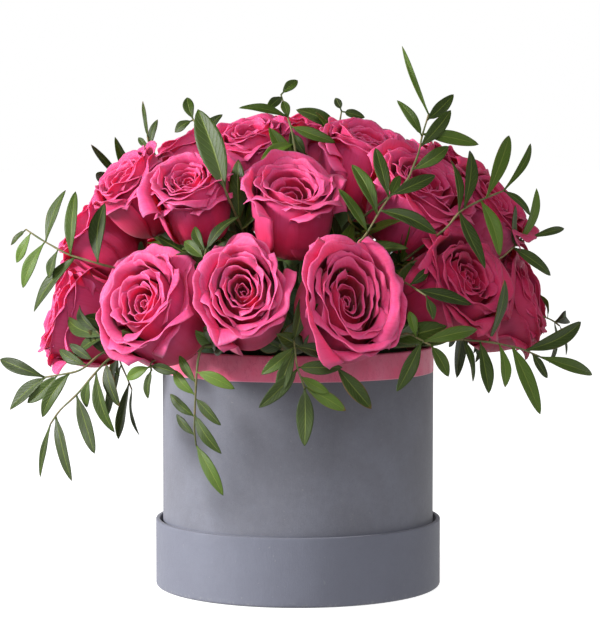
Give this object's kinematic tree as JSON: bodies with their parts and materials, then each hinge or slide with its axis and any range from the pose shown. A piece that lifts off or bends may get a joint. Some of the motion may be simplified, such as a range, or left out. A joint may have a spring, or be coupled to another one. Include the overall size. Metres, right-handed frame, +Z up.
{
  "type": "flower box",
  "caption": "Round grey hat box standing in its own lid, with a pink lining turned over the rim, filled with pink roses and small-leaved foliage in wet foam.",
  "frame": {"origin": "on the table, at the middle of the lid's face, which is the axis of the box", "axes": "+Z up along the axis of the box; the front of the arrangement faces -Y and +X is to its right"},
  "size_m": [0.3835, 0.3544, 0.3554],
  "materials": {
    "grey_paper": "matt uncoated cover paper",
    "pink_paper": "matt lining paper",
    "chipboard": "grey chipboard",
    "liner_plastic": "thin translucent tub",
    "floral_foam": "wet open-cell foam",
    "rose_petals": "soft velvety petal",
    "rose_green": "satin green stem and sepals",
    "foliage": "waxy leaf",
    "foliage_stem": "thin woody stem"
  },
  "bodies": {
    "lid": {"lid_face_paper": "grey_paper", "lid_board": "chipboard", "lid_rim": "chipboard", "lid_rim_paper": "grey_paper"},
    "drum": {"drum_foot_paper": "grey_paper", "drum_base_board": "chipboard", "drum_wall": "chipboard", "drum_paper": "grey_paper", "lining_paper": "pink_paper"},
    "insert": {"foam_block": "floral_foam", "liner_tub": "liner_plastic", "rose_01": "rose_petals", "rose_02": "rose_petals", "rose_03": "rose_petals", "rose_04": "rose_petals", "rose_05": "rose_petals", "rose_06": "rose_petals", "rose_07": "rose_petals", "rose_08": "rose_petals", "rose_09": "rose_petals", "rose_10": "rose_petals", "rose_11": "rose_petals", "rose_12": "rose_petals", "rose_13": "rose_petals", "rose_14": "rose_petals", "rose_15": "rose_petals", "rose_16": "rose_petals", "rose_17": "rose_petals", "rose_18": "rose_petals", "rose_19": "rose_petals", "rose_20": "rose_petals", "rose_21": "rose_petals", "rose_22": "rose_petals", "rose_23": "rose_petals", "rose_24": "rose_petals", "rose_25": "rose_petals", "rose_26": "rose_petals", "rose_27": "rose_petals", "sprig_01": "foliage", "sprig_02": "foliage", "sprig_03": "foliage", "sprig_04": "foliage", "sprig_05": "foliage", "sprig_06": "foliage", "sprig_07": "foliage", "sprig_08": "foliage", "sprig_09": "foliage", "sprig_10": "foliage", "sprig_11": "foliage", "sprig_12": "foliage", "sprig_13": "foliage", "sprig_14": "foliage", "sprig_15": "foliage", "sprig_16": "foliage", "sprig_17": "foliage", "sprig_18": "foliage", "sprig_19": "foliage", "sprig_20": "foliage", "sprig_21": "foliage"}
  },
  "joints": [
    {"name": "drum_lift", "type": "slide", "parent": "lid", "child": "drum", "axis": [0, 0, 1], "range_m": [0, 0.08]},
    {"name": "insert_lift", "type": "slide", "parent": "drum", "child": "insert", "axis": [0, 0, 1], "range_m": [0, 0.16]}
  ]
}
